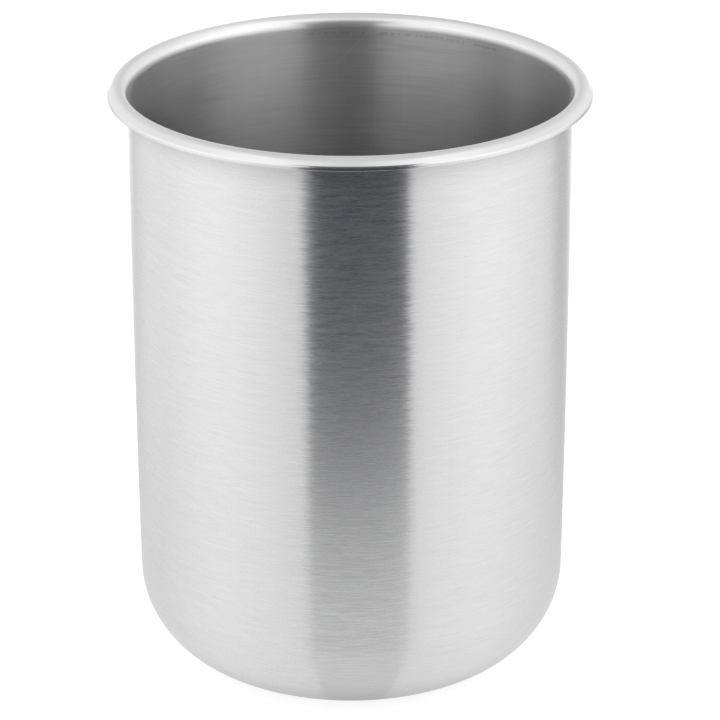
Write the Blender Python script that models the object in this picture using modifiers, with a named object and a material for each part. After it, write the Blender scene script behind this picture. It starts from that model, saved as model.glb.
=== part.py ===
"""A deep round soup pot, drawn in one piece from stainless sheet, with a rolled-over rim."""

import math

import bpy
from mathutils import Vector

# Driving dimensions, in metres. The origin is the centre of the underside, and +Z is up.
HEIGHT = 0.1724
SHEET = 0.0007
MOUTH_R = 0.0613
DRAFT = 0.00095
FLOOR_CORNER_R = 0.0261

# The rim: a throat of two bends up to the crown, a bend and a slope down from it, and a lip turned straight down.
RIM_R = 0.0676
THROAT_LOW_R = 0.0043
THROAT_TOP_R = 0.0022
THROAT_TURN = math.radians(-35)
CROWN_BEND_R = 0.0029
CROWN_TURN = math.radians(46)
LIP_BEND_R = 0.0009
RIM_DROP = 0.0031

STEPS_ROUND = 72
CORNER_STEPS = 10
WALL_STEPS = 8
THROAT_STEPS = 3
CROWN_STEPS = 4
LIP_BEND_STEPS = 4

MERGE = 0.00001
SHARP_ANGLE = math.radians(40)

STEEL_COLOUR = (0.62, 0.63, 0.64, 1.0)
STEEL_ROUGHNESS = 0.28


def clear_scene():
    """Removes every object, so that the scene holds only the pot."""
    for obj in list(bpy.data.objects):
        bpy.data.objects.remove(obj, do_unlink=True)


def facing(lean):
    """The direction the surface faces, as (radius, height): a lean of 0 is up, and 90 degrees is outwards."""
    return Vector((math.sin(lean), math.cos(lean)))


def bend(centre, radius, start, end, steps):
    """Points on a round bend, from one lean to another."""
    return [centre + radius * facing(start + (end - start) * i / steps) for i in range(steps + 1)]


def wall_radius(z):
    """Inside radius at height z: upright at the mouth, and drawn in more and more towards the floor."""
    depth = (HEIGHT - z) / HEIGHT
    return MOUTH_R - DRAFT * depth**3


def floor_and_wall(top):
    """From the centre of the floor, round its corner and up the wall to just below the height top."""
    corner_top = SHEET + FLOOR_CORNER_R
    corner_centre = Vector((wall_radius(corner_top) - FLOOR_CORNER_R, corner_top))
    points = [Vector((0.0, SHEET))]
    points += bend(corner_centre, FLOOR_CORNER_R, math.pi, math.pi / 2, CORNER_STEPS)
    for i in range(1, WALL_STEPS):
        z = corner_top + (top - corner_top) * i / WALL_STEPS
        points.append(Vector((wall_radius(z), z)))
    return points


def food_side():
    """Half section of the face that the food touches, from the floor's centre to the end of the lip."""
    throat_low = Vector((MOUTH_R + THROAT_LOW_R, 0.0))
    throat_top = throat_low + (THROAT_LOW_R - THROAT_TOP_R) * facing(THROAT_TURN)
    rise = HEIGHT - THROAT_TOP_R - throat_top.y
    throat_low.y += rise
    throat_top.y += rise
    crown = Vector((throat_top.x, HEIGHT - CROWN_BEND_R))
    lip_r = RIM_R - LIP_BEND_R
    slope_start = crown + (CROWN_BEND_R - LIP_BEND_R) * facing(CROWN_TURN)
    lip = Vector((lip_r, slope_start.y - (lip_r - slope_start.x) * math.tan(CROWN_TURN)))

    points = floor_and_wall(throat_low.y)
    points += bend(throat_low, THROAT_LOW_R, -math.pi / 2, THROAT_TURN, THROAT_STEPS)
    points += bend(throat_top, THROAT_TOP_R, THROAT_TURN, 0.0, THROAT_STEPS)[1:]
    points += bend(crown, CROWN_BEND_R, 0.0, CROWN_TURN, CROWN_STEPS)[1:]
    points += bend(lip, LIP_BEND_R, CROWN_TURN, math.pi / 2, LIP_BEND_STEPS)
    points.append(Vector((RIM_R, HEIGHT - RIM_DROP)))
    return points


def turned_sheet(name, profile, collection):
    """Turns an open half section round Z and thickens it away from the food side, to one closed sheet."""
    mesh = bpy.data.meshes.new(name)
    vertices = [(radius, 0.0, z) for radius, z in profile]
    edges = [(i, i + 1) for i in range(len(profile) - 1)]
    mesh.from_pydata(vertices, edges, [])
    obj = bpy.data.objects.new(name, mesh)
    collection.objects.link(obj)

    turn = obj.modifiers.new("turn", "SCREW")
    turn.axis = "Z"
    turn.steps = STEPS_ROUND
    turn.render_steps = STEPS_ROUND
    turn.use_merge_vertices = True
    turn.merge_threshold = MERGE

    thickness = obj.modifiers.new("sheet", "SOLIDIFY")
    thickness.thickness = SHEET
    thickness.offset = -1.0
    thickness.use_even_offset = True
    return obj


def shade_round(obj):
    """Makes the modifiers' result the object's mesh, smooth except at the sheet's cut edge."""
    graph = bpy.context.evaluated_depsgraph_get()
    solid = bpy.data.meshes.new_from_object(obj.evaluated_get(graph))
    profile = obj.data
    obj.modifiers.clear()
    obj.data = solid
    bpy.data.meshes.remove(profile)
    solid.name = obj.name
    solid.shade_smooth()
    solid.set_sharp_from_angle(angle=SHARP_ANGLE)


def steel(name):
    """Brushed stainless steel."""
    material = bpy.data.materials.new(name)
    material.use_nodes = True
    shader = material.node_tree.nodes["Principled BSDF"]
    shader.inputs["Base Color"].default_value = STEEL_COLOUR
    shader.inputs["Metallic"].default_value = 1.0
    shader.inputs["Roughness"].default_value = STEEL_ROUGHNESS
    return material


def main():
    clear_scene()
    collection = bpy.data.collections.new("soup_kettle_pot")
    bpy.context.scene.collection.children.link(collection)

    pot = turned_sheet("kettle_pot", food_side(), collection)
    shade_round(pot)
    pot.data.materials.append(steel("stainless_steel"))


main()
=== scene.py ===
"""The looks of the soup pot: one stainless sheet, brushed outside, satin inside and polished on its rim."""

import math

import bpy
from mathutils import Matrix, Vector


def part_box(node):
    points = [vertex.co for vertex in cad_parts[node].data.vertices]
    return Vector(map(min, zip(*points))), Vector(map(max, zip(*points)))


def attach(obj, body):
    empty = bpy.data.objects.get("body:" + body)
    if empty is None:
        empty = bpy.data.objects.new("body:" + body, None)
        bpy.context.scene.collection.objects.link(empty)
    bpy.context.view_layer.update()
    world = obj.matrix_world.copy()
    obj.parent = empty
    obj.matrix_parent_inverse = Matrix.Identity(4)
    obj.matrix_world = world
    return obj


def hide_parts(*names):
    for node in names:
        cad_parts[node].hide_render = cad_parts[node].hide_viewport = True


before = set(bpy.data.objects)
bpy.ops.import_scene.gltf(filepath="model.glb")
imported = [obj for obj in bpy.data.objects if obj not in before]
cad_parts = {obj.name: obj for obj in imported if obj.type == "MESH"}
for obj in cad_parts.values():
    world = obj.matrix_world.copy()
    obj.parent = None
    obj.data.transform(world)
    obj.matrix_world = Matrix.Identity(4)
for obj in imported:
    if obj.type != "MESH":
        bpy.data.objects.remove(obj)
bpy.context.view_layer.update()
pot_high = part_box("kettle_pot")[1]

# The sheet, in metres. Its height and rim come from the frame, and the rest is the pot's own section.
HEIGHT = pot_high.z
RIM_R = pot_high.x
SHEET = 0.0007
RIM_REACH = 0.0063
MOUTH_R = RIM_R - RIM_REACH
DRAFT = 0.00095
FLOOR_CORNER_R = 0.0261
THROAT_LOW_R = 0.0043
THROAT_TOP_R = 0.0022
THROAT_TURN = math.radians(-35)
CROWN_BEND_R = 0.0029
CROWN_TURN = math.radians(46)
LIP_BEND_R = 0.0009
RIM_DROP = 0.0031
EDGE_R = 0.00012
ON_AXIS = 1e-7

# How finely the sheet is divided, round the pot and along its section.
STEPS_ROUND = 288
FLOOR_STEPS = 14
CORNER_STEPS = 32
WALL_STEPS = 40
THROAT_STEPS = 10
CROWN_STEPS = 14
SLOPE_STEPS = 3
LIP_BEND_STEPS = 8
LIP_STEPS = 3
EDGE_STEPS = 4

# The rim is polished down to this far below its crown, and the polish fades out over the stretch above that.
POLISH_END = 0.0046
POLISH_FADE = 0.0036
# Past its crown the rim keeps its polish this far, and then loses this share of it towards the lip.
LIP_FROM = 0.0033
LIP_FADE = 0.0010
LIP_LOSS = 0.65

# The camera, in metres and radians, round the pot's axis at half its height.
CAMERA_DISTANCE = 1.0174
CAMERA_PITCH = 0.3935
CAMERA_ROLL = -0.0027
CAMERA_LENS_MM = 177.1
CAMERA_SENSOR_MM = 36.0
CAMERA_SHIFT = (0.0127, 0.0093)

# The tent's radiance by degrees away from the front, on either side: level with the pot, and high up.
TENT = ((0, 1.15), (21, 1.30), (44, 1.48), (80, 1.50), (115, 1.32), (157, 1.08), (180, 0.86))
TENT_HIGH = ((0, 1.06), (24, 1.25), (50, 1.36), (75, 1.34), (110, 1.13), (155, 0.92), (180, 0.84))
TENT_TOP = 0.94
# The level light turns to the high one between these two heights of a direction, given as sines, and the
# high one to the top's light between the next two.
HIGH_TURNS = (0.20, 0.80)
TOP_TURNS = (0.88, 0.98)
# The key light, which sets in between these two heights.
KEY = 0.15
KEY_TURNS = (0.10, 0.40)

# The table's radiance by degrees away from the front: TABLE_REACH away from the pot, and right beside it.
TABLE_FAR = (
    (0, 0.90),
    (30, 0.90),
    (42, 1.04),
    (56, 1.20),
    (80, 1.31),
    (105, 1.20),
    (128, 1.12),
    (149, 0.84),
    (157, 1.22),
    (167, 1.30),
    (180, 1.30),
)
TABLE_NEAR = (
    (0, 1.04),
    (30, 1.06),
    (56, 1.10),
    (75, 1.12),
    (90, 1.06),
    (107, 0.98),
    (134, 0.88),
    (148, 0.82),
    (180, 0.98),
)
TABLE_REACH = 0.40
TABLE_SIZE = 12.0
TABLE_DROP = 0.0002
# The table's glow is dimmer under the pot, up to these distances from the pot's axis: a painted shadow of the
# pot, seen in its reflections.
PAINTED_SHADOW_UNDER_POT = 0.45
PAINTED_SHADOW_FADES = (0.036, 0.062)
# A lane of painted shade runs forward from the pot, where the table's glow is lower. It is dimmer near the
# pot, and its edges are LANE_SOFT radians soft.
SHADED_LANE = 0.975
SHADED_LANE_NEAR = 0.90
LANE_NEAR_END = 0.12
LANE_LEFT = math.radians(-21.7)
LANE_RIGHT = math.radians(29)
LANE_SOFT = 0.02
# The table's far corner behind the pot, on the right, is dimmer: painted shade in the table's glow.
DIM_CORNER = math.radians(133)
DIM_SPREAD = math.radians(13)
DIM_BY = 0.34
# What the camera sees of the tent and the table. The table's cloth takes the pot's shadow.
BACKDROP = 1.15
TABLE_GLOW = 0.80
TABLE_CLOTH = 0.35
# No radiance in the tables above is over this one, because a colour ramp holds numbers up to 1.
BRIGHTEST = 1.6

# The dark gap in the tent in front of the pot, from the table up: (height, left edge, right edge, radiance).
GAP_AWAY = 0.22
GAP = (
    (0.000, -0.0745, 0.1090, 0.012),
    (0.060, -0.0768, 0.1102, 0.010),
    (0.100, -0.0845, 0.1095, 0.002),
    (0.150, -0.0860, 0.1080, 0.010),
    (0.180, -0.0620, 0.1020, 0.135),
    (0.270, -0.0640, 0.1060, 0.145),
    (0.300, -0.0800, 0.1380, 0.165),
    (0.455, -0.1350, 0.1520, 0.320),
)
GAP_TINT = (0.0, 0.004, 0.022)


# --------------------------------------------------------------------------------------------------
# The sheet
# --------------------------------------------------------------------------------------------------


def wall_radius(z):
    """Inside radius at height z: upright at the mouth, and drawn in more and more towards the floor."""
    depth = (HEIGHT - z) / HEIGHT
    return MOUTH_R - DRAFT * depth**3


def facing(lean):
    """The direction the surface faces, as (radius, height): a lean of 0 is up, and 90 degrees is outwards."""
    return Vector((math.sin(lean), math.cos(lean)))


def bend(centre, radius, start, end, steps):
    """Points on a round bend, from one lean to another."""
    return [centre + radius * facing(start + (end - start) * i / steps) for i in range(steps + 1)]


def between(start, end, steps):
    """Points on the straight line from start to end, without start itself."""
    return [start.lerp(end, i / steps) for i in range(1, steps + 1)]


def food_side():
    """Half section of the food side, from the floor's centre to the lip's end, and the crown's radius."""
    corner_top = SHEET + FLOOR_CORNER_R
    corner_centre = Vector((wall_radius(corner_top) - FLOOR_CORNER_R, corner_top))
    crown_r = MOUTH_R + THROAT_LOW_R + (THROAT_LOW_R - THROAT_TOP_R) * math.sin(THROAT_TURN)
    throat_top = Vector((crown_r, HEIGHT - THROAT_TOP_R))
    throat_low = throat_top - (THROAT_LOW_R - THROAT_TOP_R) * facing(THROAT_TURN)
    crown = Vector((crown_r, HEIGHT - CROWN_BEND_R))
    slope_start = crown + (CROWN_BEND_R - LIP_BEND_R) * facing(CROWN_TURN)
    lip_r = RIM_R - LIP_BEND_R
    lip = Vector((lip_r, slope_start.y - (lip_r - slope_start.x) * math.tan(CROWN_TURN)))

    points = [Vector((corner_centre.x * i / FLOOR_STEPS, SHEET)) for i in range(FLOOR_STEPS)]
    points += bend(corner_centre, FLOOR_CORNER_R, math.pi, math.pi / 2, CORNER_STEPS)
    for i in range(1, WALL_STEPS):
        z = corner_top + (throat_low.y - corner_top) * i / WALL_STEPS
        points.append(Vector((wall_radius(z), z)))
    points += bend(throat_low, THROAT_LOW_R, -math.pi / 2, THROAT_TURN, THROAT_STEPS)
    points += bend(throat_top, THROAT_TOP_R, THROAT_TURN, 0.0, THROAT_STEPS)[1:]
    points += bend(crown, CROWN_BEND_R, 0.0, CROWN_TURN, CROWN_STEPS)[1:]
    points += between(points[-1], lip + LIP_BEND_R * facing(CROWN_TURN), SLOPE_STEPS)
    points += bend(lip, LIP_BEND_R, CROWN_TURN, math.pi / 2, LIP_BEND_STEPS)[1:]
    points += between(points[-1], Vector((RIM_R, HEIGHT - RIM_DROP + EDGE_R)), LIP_STEPS)
    return points, crown_r


def offset(points, distance):
    """The same section moved sideways by distance, to the right of its direction of travel."""
    moved = []
    for i, point in enumerate(points):
        before = points[max(i - 1, 0)]
        after = points[min(i + 1, len(points) - 1)]
        along = (after - before).normalized()
        moved.append(point + Vector((along.y, -along.x)) * distance)
    moved[0].x = 0.0
    return moved


def smooth(low, high, value):
    """0 below low, 1 above high, and an eased slope between them."""
    share = min(max((value - low) / (high - low), 0.0), 1.0)
    return share * share * (3 - 2 * share)


def whole_section():
    """The sheet's section: food side, cut edge and back. Also the rows of the crown and the outside."""
    food, crown_r = food_side()
    back = offset(food, SHEET)
    # The lip's cut edge is flat, with both of its corners just broken.
    edge = bend(food[-1] - Vector((EDGE_R, 0.0)), EDGE_R, math.pi / 2, math.pi, EDGE_STEPS)[1:]
    edge += bend(back[-1] + Vector((EDGE_R, 0.0)), EDGE_R, math.pi, 3 * math.pi / 2, EDGE_STEPS)[:-1]
    crown_row = next(i for i, point in enumerate(food) if point.x >= crown_r and point.y > HEIGHT / 2)
    return food + edge + back[::-1], crown_row, len(food) + len(edge) // 2


def polish_share(past_crown):
    """The share of polish at this distance past the rim's crown, along the section."""
    inner = smooth(-POLISH_END, POLISH_FADE - POLISH_END, past_crown)
    outer = smooth(LIP_FROM, LIP_FROM + LIP_FADE, past_crown)
    return inner * (1 - LIP_LOSS * outer)


def turned_sheet(name):
    """The whole sheet as one closed mesh, with each point's path along the section and its polish."""
    section, crown_row, outside_row = whole_section()
    travelled = [0.0]
    for a, b in zip(section, section[1:]):
        travelled.append(travelled[-1] + (b - a).length)

    vertices, path, polish, rows = [], [], [], []
    for point, distance in zip(section, travelled):
        around = 1 if point.x < ON_AXIS else STEPS_ROUND
        rows.append([len(vertices) + step % around for step in range(STEPS_ROUND)])
        for step in range(around):
            angle = 2 * math.pi * step / STEPS_ROUND
            vertices.append((point.x * math.cos(angle), point.x * math.sin(angle), point.y))
        path += [distance] * around
        polish += [polish_share(distance - travelled[crown_row])] * around

    faces = []
    for low, high in zip(rows, rows[1:]):
        for step in range(STEPS_ROUND):
            after = (step + 1) % STEPS_ROUND
            faces.append(list(dict.fromkeys((low[step], low[after], high[after], high[step]))))

    mesh = bpy.data.meshes.new(name)
    mesh.from_pydata(vertices, [], faces)
    mesh.attributes.new("draw_path", "FLOAT", "POINT").data.foreach_set("value", path)
    mesh.attributes.new("polish", "FLOAT", "POINT").data.foreach_set("value", polish)
    mesh.shade_smooth()
    for polygon in mesh.polygons:
        polygon.material_index = 1 if polygon.index < outside_row * STEPS_ROUND else 0
    obj = bpy.data.objects.new(name, mesh)
    bpy.context.scene.collection.objects.link(obj)
    return obj


# --------------------------------------------------------------------------------------------------
# Shader nodes
# --------------------------------------------------------------------------------------------------


def put(tree, socket, value):
    """Links a socket to value where that is another socket, and makes it the default where it is a number."""
    if isinstance(value, bpy.types.NodeSocket):
        tree.links.new(value, socket)
    else:
        socket.default_value = value


def node(tree, kind, **inputs):
    """A shader node with its inputs set by name. i0 is the first input, and so on."""
    made = tree.nodes.new(kind)
    for name, value in inputs.items():
        put(tree, made.inputs[int(name[1:]) if name[1:].isdigit() else name.replace("_", " ")], value)
    return made


def maths(tree, operation, a, b=0.0, c=0.0):
    """The result of one maths node."""
    made = node(tree, "ShaderNodeMath", i0=a, i1=b, i2=c)
    made.operation = operation
    return made.outputs[0]


def vectors(tree, operation, a, b):
    """Vector maths. For SCALE, b is the number that a is multiplied by."""
    made = tree.nodes.new("ShaderNodeVectorMath")
    made.operation = operation
    put(tree, made.inputs[0], a)
    put(tree, made.inputs["Scale" if operation == "SCALE" else 1], b)
    return made.outputs[0]


def blend(tree, share, low, high):
    """The number low where share is 0, and high where it is 1."""
    return node(tree, "ShaderNodeMix", Factor=share, A=low, B=high).outputs[0]


def step_between(tree, value, low, high):
    """0 at low, 1 at high and an eased slope between them. Low may be the greater of the two."""
    made = node(tree, "ShaderNodeMapRange", Value=value, From_Min=low, From_Max=high)
    made.interpolation_type = "SMOOTHSTEP"
    return made.outputs[0]


def attribute(tree, name):
    """A number that the mesh holds at each point."""
    made = tree.nodes.new("ShaderNodeAttribute")
    made.attribute_name = name
    return made.outputs["Fac"]


def spread(tree, noise, reach):
    """Turns noise, which is about a half, into a number about 0 that rarely passes reach."""
    return maths(tree, "MULTIPLY", maths(tree, "MULTIPLY_ADD", noise, 4.0, -2.0), reach)


# --------------------------------------------------------------------------------------------------
# Steel
# --------------------------------------------------------------------------------------------------


# Each noise has its own seed, and the shorts are this share of a stroke's length.
SHORTS_SEED = 31.7
SHORTS_LENGTH = 0.5
BANDS_SEED = 77.3
LAY_SEED = 143.1
SCUFFS_SEED = 211.9
STROKE_ROUGHNESS = 0.55
# Broad bands in the brushing: so many strokes long and wide.
BAND_LENGTH = 10
BAND_WIDTH = 8
# A quarter turn lays the strokes round the pot.
ROUND_THE_POT = 0.25

# Painted shade: the tone falls from the rim's top down to the first depth below, darker deeper in. More
# painted shade lies just under
# the rim: the tone there is lower, and rises to its full value between the two depths that follow.
SHADE_DEPTH_END = 0.06
UNDER_RIM_SHADE_TURNS = (0.003, 0.012)
# Painted light: one side of the inside has its tone raised where the lamps light it more: its direction, how
# sharply it ends, its strength near the rim, and what is added to that strength deeper down.
PAINTED_LIGHT_SIDE = math.radians(-37)
PAINTED_LIGHT_POWER = 16.0
PAINTED_LIGHT_NEAR_RIM = 0.5
PAINTED_LIGHT_DEEPER = 1.1
PAINTED_LIGHT_TURNS = (0.008, 0.026)

# The inside's marks, in metres: upright draw lines, a line of dashes below the rim, and a scratch.
# Places are the distance round the pot from its far side, and the height.
DRAW_LINE_WIDTH = 0.0009
DRAW_LINE_LENGTH = 0.045
DRAW_LINE_TONE = 0.012
DASH_SEED = 3.7
DASH_LENGTH = 0.0011
DASH_WIDTH = 0.0007
DASH_DROP = 0.0052
DASH_BREAKS = (0.46, 0.60)
DASH_TONE = 0.12
DASHES_FROM = -0.011
DASHES_TO = 0.047
DASHES_FADE = 0.003
SCRATCH_FROM = (0.0066, HEIGHT - 0.0034)
SCRATCH_TO = (-0.0042, HEIGHT - 0.0150)
SCRATCH_WIDTH = 0.00022
SCRATCH_TONE = 0.10
LINE_FADE = 0.002

# The finishes. Strokes are in metres, and the values that vary, drift, tilt or turn do so either way. The
# tone's fall with depth and its dip under the rim are painted shade, and its patch on one side is painted
# light.
BRUSHED = {
    "worn": False,
    "tone": 0.505,
    "under_rim_shade": 0.13,
    "painted_depth_shade": 0.0,
    "painted_light_gain": 0.0,
    "tone_varies": 0.034,
    "tone_drifts": 0.006,
    "roughness": 0.275,
    "roughness_varies": 0.038,
    "anisotropy": 0.93,
    "turn": 0.010,
    "stroke": 0.0065,
    "stroke_width": 0.00022,
    "round_tilt": 0.015,
    "up_tilt": 0.016,
}
SATIN = {
    "worn": True,
    "tone": 0.66,
    "under_rim_shade": 0.11,
    "painted_depth_shade": 0.34,
    "painted_light_gain": 0.12,
    "tone_varies": 0.053,
    "tone_drifts": 0.014,
    "roughness": 0.31,
    "roughness_varies": 0.025,
    "anisotropy": 0.93,
    "turn": 0.010,
    "stroke": 0.0180,
    "stroke_width": 0.00030,
    "round_tilt": 0.014,
    "up_tilt": 0.014,
}
POLISHED = {
    "tone": 0.65,
    "tone_varies": 0.004,
    "tone_drifts": 0.004,
    "roughness": 0.13,
    "roughness_varies": 0.01,
    "anisotropy": 0.30,
    "turn": 0.004,
    "round_tilt": 0.006,
    "up_tilt": 0.006,
}


def strokes(tree, length, width, seed, detail=1.0):
    """Noise in strokes that run round the pot: length and width are a stroke's size in metres."""
    place = node(tree, "ShaderNodeTexCoord").outputs["Object"]
    split = node(tree, "ShaderNodeSeparateXYZ", Vector=place).outputs
    across = maths(tree, "MULTIPLY_ADD", attribute(tree, "draw_path"), 1 / width, seed)
    vector = node(
        tree,
        "ShaderNodeCombineXYZ",
        X=maths(tree, "MULTIPLY", split["X"], 1 / length),
        Y=maths(tree, "MULTIPLY", split["Y"], 1 / length),
        Z=across,
    ).outputs[0]
    noise = node(tree, "ShaderNodeTexNoise", Vector=vector, Scale=1.0, Detail=detail)
    put(tree, noise.inputs["Roughness"], STROKE_ROUGHNESS)
    return noise.outputs["Fac"]


def tilted(tree, round_tilt, up_tilt):
    """The surface's normal, leant a little round the pot and along its section, and the way round."""
    normal = tree.nodes.new("ShaderNodeNewGeometry").outputs["Normal"]
    tangent = tree.nodes.new("ShaderNodeTangent")
    tangent.direction_type = "RADIAL"
    tangent.axis = "Z"
    along = tangent.outputs[0]
    up = vectors(tree, "CROSS_PRODUCT", normal, along)
    leant = vectors(tree, "ADD", normal, vectors(tree, "SCALE", along, round_tilt))
    leant = vectors(tree, "ADD", leant, vectors(tree, "SCALE", up, up_tilt))
    return vectors(tree, "NORMALIZE", leant, (0.0, 0.0, 0.0)), along


def line_mark(tree, around, height, start, end, width):
    """1 on a straight fine line from start to end, each as (distance round the pot, height), and 0 off it."""
    run, rise = end[0] - start[0], end[1] - start[1]
    length = math.hypot(run, rise)
    off_around = maths(tree, "SUBTRACT", around, start[0])
    off_height = maths(tree, "SUBTRACT", height, start[1])
    across = maths(tree, "MULTIPLY", off_around, rise / length)
    across = maths(tree, "ABSOLUTE", maths(tree, "MULTIPLY_ADD", off_height, -run / length, across))
    along = maths(tree, "MULTIPLY", off_around, run / length)
    along = maths(tree, "MULTIPLY_ADD", off_height, rise / length, along)
    begun = step_between(tree, along, 0.0, LINE_FADE)
    on = maths(tree, "MULTIPLY", step_between(tree, across, width, 0.0), begun)
    return maths(tree, "MULTIPLY", on, step_between(tree, along, length, length - LINE_FADE))


def draw_lines(tree, around, height):
    """What the faint upright lines of the draw add to the tone, either way."""
    lay = node(
        tree,
        "ShaderNodeCombineXYZ",
        X=maths(tree, "MULTIPLY", around, 1 / DRAW_LINE_WIDTH),
        Y=maths(tree, "MULTIPLY", height, 1 / DRAW_LINE_LENGTH),
    ).outputs[0]
    noise = node(tree, "ShaderNodeTexNoise", Vector=lay, Scale=1.0, Detail=2.0).outputs["Fac"]
    return spread(tree, noise, DRAW_LINE_TONE)


def dashed_line(tree, around, height):
    """1 on the dashes below the rim, which run along a part of the far side, and 0 off them."""
    along = maths(tree, "MULTIPLY", around, 1 / DASH_LENGTH)
    beads = node(tree, "ShaderNodeCombineXYZ", X=along, Y=DASH_SEED).outputs[0]
    beads = node(tree, "ShaderNodeTexNoise", Vector=beads, Scale=1.0, Detail=0.0).outputs["Fac"]
    off_line = maths(tree, "ABSOLUTE", maths(tree, "SUBTRACT", height, HEIGHT - DASH_DROP))
    on_line = step_between(tree, off_line, DASH_WIDTH, 0.0)
    dashes = maths(tree, "MULTIPLY", step_between(tree, beads, *DASH_BREAKS), on_line)
    begun = step_between(tree, around, DASHES_FROM - DASHES_FADE, DASHES_FROM)
    dashes = maths(tree, "MULTIPLY", dashes, begun)
    return maths(tree, "MULTIPLY", dashes, step_between(tree, around, DASHES_TO + DASHES_FADE, DASHES_TO))


def wear(tree, place):
    """What the inside's marks add to the tone: draw lines, dashes below the rim and one scratch."""
    height = place["Z"]
    around = maths(tree, "MULTIPLY", maths(tree, "ARCTAN2", place["X"], place["Y"]), MOUTH_R)
    marks = draw_lines(tree, around, height)
    marks = maths(tree, "MULTIPLY_ADD", dashed_line(tree, around, height), -DASH_TONE, marks)
    scratch = line_mark(tree, around, height, SCRATCH_FROM, SCRATCH_TO, SCRATCH_WIDTH)
    return maths(tree, "MULTIPLY_ADD", scratch, SCRATCH_TONE, marks)


def below(tree, place, drops):
    """0 above the first drop below the rim's top, and 1 below the second."""
    return step_between(tree, place["Z"], HEIGHT - drops[0], HEIGHT - drops[1])


def painted_light_share(tree, place):
    """How strongly each point takes the painted light on the brighter side of the inside."""
    towards = maths(tree, "MULTIPLY", place["X"], math.sin(PAINTED_LIGHT_SIDE) / MOUTH_R)
    towards = maths(tree, "MULTIPLY_ADD", place["Y"], math.cos(PAINTED_LIGHT_SIDE) / MOUTH_R, towards)
    patch = maths(tree, "POWER", maths(tree, "MAXIMUM", towards, 0.0), PAINTED_LIGHT_POWER)
    deeper = below(tree, place, PAINTED_LIGHT_TURNS)
    return maths(tree, "MULTIPLY", patch, maths(tree, "MULTIPLY_ADD", deeper, PAINTED_LIGHT_DEEPER, PAINTED_LIGHT_NEAR_RIM))


def tone_by_place(tree, finish, tone, place):
    """The tone as it changes with the height and the side: painted shade deeper in and just under the rim,
    and painted light on one side.
    """
    # Painted shade: darker deeper in.
    depth_shade = maths(tree, "MULTIPLY", below(tree, place, (0.0, SHADE_DEPTH_END)), finish["painted_depth_shade"])
    tone = maths(tree, "SUBTRACT", tone, depth_shade)
    # Painted light on one side of the inside.
    tone = maths(tree, "MULTIPLY_ADD", painted_light_share(tree, place), finish["painted_light_gain"], tone)
    # Painted shade under the rim: the tone is lower at the rim and rises below it.
    return maths(tree, "MULTIPLY_ADD", below(tree, place, UNDER_RIM_SHADE_TURNS), finish["under_rim_shade"], tone)


def steel(name, base, other=None):
    """Stainless steel in the finish base, which turns to the finish other where the sheet is polished."""
    material = bpy.data.materials.new(name)
    material.use_nodes = True
    tree = material.node_tree
    tree.nodes.clear()
    share = attribute(tree, "polish")
    length, width = base["stroke"], base["stroke_width"]

    def look(key):
        return base[key] if other is None else blend(tree, share, base[key], other[key])

    hairs = strokes(tree, length, width, 0.0, 2.0)
    shorts = strokes(tree, length * SHORTS_LENGTH, width, SHORTS_SEED)
    bands = strokes(tree, length * BAND_LENGTH, width * BAND_WIDTH, BANDS_SEED)
    lay = strokes(tree, length, width, LAY_SEED)
    scuffs = strokes(tree, length, width, SCUFFS_SEED)

    place = node(tree, "ShaderNodeTexCoord").outputs["Object"]
    place = node(tree, "ShaderNodeSeparateXYZ", Vector=place).outputs
    # The tone carries painted shade deeper in and under the rim, and painted light on one side of the inside.
    tone = tone_by_place(tree, base, look("tone"), place)
    if base["worn"]:
        unpolished = maths(tree, "SUBTRACT", 1.0, share)
        tone = maths(tree, "ADD", tone, maths(tree, "MULTIPLY", wear(tree, place), unpolished))
    tone = maths(tree, "ADD", tone, spread(tree, hairs, look("tone_varies")))
    tone = maths(tree, "ADD", tone, spread(tree, bands, look("tone_drifts")))
    normal, along = tilted(tree, spread(tree, lay, look("round_tilt")), spread(tree, shorts, look("up_tilt")))
    shader = node(
        tree,
        "ShaderNodeBsdfPrincipled",
        Base_Color=vectors(tree, "SCALE", (1.0, 1.0, 1.0), tone),
        Metallic=1.0,
        Roughness=maths(tree, "ADD", look("roughness"), spread(tree, scuffs, look("roughness_varies"))),
        Anisotropic=look("anisotropy"),
        Anisotropic_Rotation=maths(tree, "ADD", ROUND_THE_POT, spread(tree, hairs, look("turn"))),
        Tangent=along,
        Normal=normal,
    )
    node(tree, "ShaderNodeOutputMaterial", Surface=shader.outputs[0])
    return material


# --------------------------------------------------------------------------------------------------
# The studio
# --------------------------------------------------------------------------------------------------


def azimuth(tree, vector):
    """The angle of a direction or place round Z, in radians: 0 in front of the pot, positive to its right."""
    split = node(tree, "ShaderNodeSeparateXYZ", Vector=vector).outputs
    return maths(tree, "ARCTAN2", split["X"], maths(tree, "MULTIPLY", split["Y"], -1.0))


def by_direction(tree, angle, levels):
    """Radiance by the angle from the front, read off levels with smooth steps."""
    either_side = maths(tree, "DIVIDE", maths(tree, "ABSOLUTE", angle), math.pi)
    ramp = node(tree, "ShaderNodeValToRGB", Fac=either_side)
    ramp.color_ramp.interpolation = "CARDINAL"
    elements = ramp.color_ramp.elements
    while len(elements) < len(levels):
        elements.new(0.5)
    for element, (degrees, radiance) in zip(elements, levels):
        element.position = degrees / 180
        element.color = (radiance / BRIGHTEST,) * 3 + (1.0,)
    return maths(tree, "MULTIPLY", ramp.outputs["Color"], BRIGHTEST)


def seen_by_camera(tree):
    """1 for what the camera sees directly, and 0 for what reflections and light see."""
    return node(tree, "ShaderNodeLightPath").outputs["Is Camera Ray"]


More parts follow.
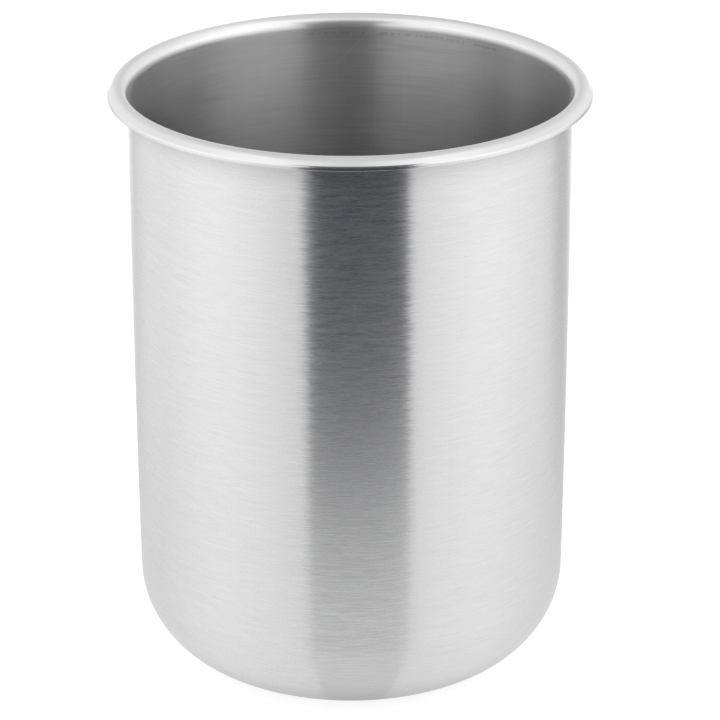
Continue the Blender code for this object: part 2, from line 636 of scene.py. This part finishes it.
def tent():
    """A white tent with wide soft lights at its sides. The camera sees it as plain white."""
    world = bpy.data.worlds.new("tent")
    bpy.context.scene.world = world
    world.use_nodes = True
    tree = world.node_tree
    tree.nodes.clear()
    direction = node(tree, "ShaderNodeTexCoord").outputs["Generated"]
    split = node(tree, "ShaderNodeSeparateXYZ", Vector=direction).outputs
    height = split["Z"]
    angle = azimuth(tree, direction)
    low, high = by_direction(tree, angle, TENT), by_direction(tree, angle, TENT_HIGH)
    walls = blend(tree, step_between(tree, height, *HIGH_TURNS), low, high)
    # The key light is strongest 45 degrees to the right of the camera, and fades out down towards the table.
    to_right = maths(tree, "MAXIMUM", split["X"], 0.0)
    to_front = maths(tree, "MAXIMUM", maths(tree, "MULTIPLY", split["Y"], -2.0), 0.0)
    key = maths(tree, "MULTIPLY", maths(tree, "MULTIPLY", to_right, to_front), KEY)
    key = maths(tree, "MULTIPLY", key, step_between(tree, height, *KEY_TURNS))
    walls = maths(tree, "ADD", walls, key)
    bright = blend(tree, step_between(tree, height, *TOP_TURNS), walls, TENT_TOP)
    strength = blend(tree, seen_by_camera(tree), bright, BACKDROP)
    background = node(tree, "ShaderNodeBackground", Color=(1.0, 1.0, 1.0, 1.0), Strength=strength)
    node(tree, "ShaderNodeOutputWorld", Surface=background.outputs[0])


def table_light(tree):
    """How brightly the table shines on the pot: evenly near it, and far out brighter at the sides, with
    painted shade under the pot, in a lane in front and in a far corner.
    """
    place = node(tree, "ShaderNodeTexCoord").outputs["Object"]
    # A round wall gathers what it mirrors to a line halfway between its face and its axis.
    from_focus = vectors(tree, "ADD", place, (0.0, MOUTH_R / 2, 0.0))
    angle = azimuth(tree, from_focus)
    far = by_direction(tree, angle, TABLE_FAR)
    # Painted shade in the far right corner of the table's glow.
    dim = maths(tree, "DIVIDE", maths(tree, "SUBTRACT", angle, DIM_CORNER), DIM_SPREAD)
    dim = maths(tree, "EXPONENT", maths(tree, "MULTIPLY", maths(tree, "MULTIPLY", dim, dim), -1.0))
    far = maths(tree, "SUBTRACT", far, maths(tree, "MULTIPLY", dim, DIM_BY))
    away = node(tree, "ShaderNodeVectorMath", i0=place)
    away.operation = "LENGTH"
    away = away.outputs["Value"]
    reach = maths(tree, "DIVIDE", maths(tree, "SUBTRACT", away, MOUTH_R), TABLE_REACH)
    reach = maths(tree, "MINIMUM", reach, 1.0)
    bright = blend(tree, reach, by_direction(tree, angle, TABLE_NEAR), far)
    # Painted shade: the lane in front of the pot glows less than the table beside it.
    front_shade = blend(tree, step_between(tree, away, MOUTH_R, LANE_NEAR_END), SHADED_LANE_NEAR, SHADED_LANE)
    in_left = step_between(tree, angle, LANE_LEFT - LANE_SOFT, LANE_LEFT + LANE_SOFT)
    in_right = step_between(tree, angle, LANE_RIGHT + LANE_SOFT, LANE_RIGHT - LANE_SOFT)
    open_table = blend(tree, maths(tree, "MULTIPLY", in_left, in_right), bright, front_shade)
    # Painted shadow: the table's glow is dimmer under the pot.
    return blend(tree, step_between(tree, away, *PAINTED_SHADOW_FADES), PAINTED_SHADOW_UNDER_POT, open_table)


def table():
    """A pale lit table. The camera sees it white, with the pot's faint contact shadow."""
    bpy.ops.mesh.primitive_plane_add(size=TABLE_SIZE, location=(0.0, 0.0, -TABLE_DROP))
    made = bpy.context.object
    made.name = "table"
    material = bpy.data.materials.new("table_white")
    material.use_nodes = True
    tree = material.node_tree
    tree.nodes.clear()
    white = (1.0, 1.0, 1.0, 1.0)
    lit = node(tree, "ShaderNodeEmission", Color=white, Strength=table_light(tree))
    glow = node(tree, "ShaderNodeEmission", Color=white, Strength=TABLE_GLOW)
    cloth = node(tree, "ShaderNodeBsdfDiffuse", Color=(TABLE_CLOTH, TABLE_CLOTH, TABLE_CLOTH, 1.0))
    soft = node(tree, "ShaderNodeAddShader", i0=glow.outputs[0], i1=cloth.outputs[0])
    both = node(tree, "ShaderNodeMixShader", Fac=seen_by_camera(tree), i1=lit.outputs[0], i2=soft.outputs[0])
    node(tree, "ShaderNodeOutputMaterial", Surface=both.outputs[0])
    made.data.materials.append(material)


def gap():
    """The dark gap in front of the pot, where the tent opens for the camera. Only reflections see it."""
    mesh = bpy.data.meshes.new("gap")
    vertices = []
    for height, left, right, _ in GAP:
        vertices += [(left, -GAP_AWAY, height), (right, -GAP_AWAY, height)]
    mesh.from_pydata(vertices, [], [(i, i + 1, i + 3, i + 2) for i in range(0, len(vertices) - 2, 2)])
    levels = [radiance for _, _, _, radiance in GAP for _ in range(2)]
    mesh.attributes.new("radiance", "FLOAT", "POINT").data.foreach_set("value", levels)
    made = bpy.data.objects.new("gap", mesh)
    bpy.context.scene.collection.objects.link(made)
    material = bpy.data.materials.new("gap")
    material.use_nodes = True
    tree = material.node_tree
    tree.nodes.clear()
    dark = vectors(tree, "SCALE", (1.0, 1.0, 1.0), attribute(tree, "radiance"))
    glow = node(tree, "ShaderNodeEmission", Color=vectors(tree, "ADD", dark, GAP_TINT), Strength=1.0)
    node(tree, "ShaderNodeOutputMaterial", Surface=glow.outputs[0])
    made.data.materials.append(material)
    made.visible_camera = False
    made.visible_diffuse = False
    made.visible_shadow = False
    made.visible_transmission = False
    made.visible_volume_scatter = False


def camera():
    """The camera at the photo's angle: CAMERA_DISTANCE from the pot's middle, looking down on it."""
    data = bpy.data.cameras.new("camera")
    data.sensor_width = CAMERA_SENSOR_MM
    data.lens = CAMERA_LENS_MM
    data.shift_x, data.shift_y = CAMERA_SHIFT
    made = bpy.data.objects.new("camera", data)
    bpy.context.scene.collection.objects.link(made)
    back = Vector((0.0, -math.cos(CAMERA_PITCH), math.sin(CAMERA_PITCH)))
    place = Vector((0.0, 0.0, HEIGHT / 2)) + back * CAMERA_DISTANCE
    turn = Matrix.Rotation(math.pi / 2 - CAMERA_PITCH, 4, "X") @ Matrix.Rotation(CAMERA_ROLL, 4, "Z")
    made.matrix_world = Matrix.Translation(place) @ turn
    bpy.context.scene.camera = made


def pot():
    """The pot in two finishes, standing in for the frame's kettle_pot."""
    made = turned_sheet("pot_sheet")
    made.data.materials.append(steel("brushed_outside", BRUSHED))
    made.data.materials.append(steel("satin_inside", SATIN, POLISHED))
    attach(made, "root")
    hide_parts("kettle_pot")


pot()
tent()
table()
gap()
camera()
bpy.context.scene.view_settings.view_transform = "Standard"
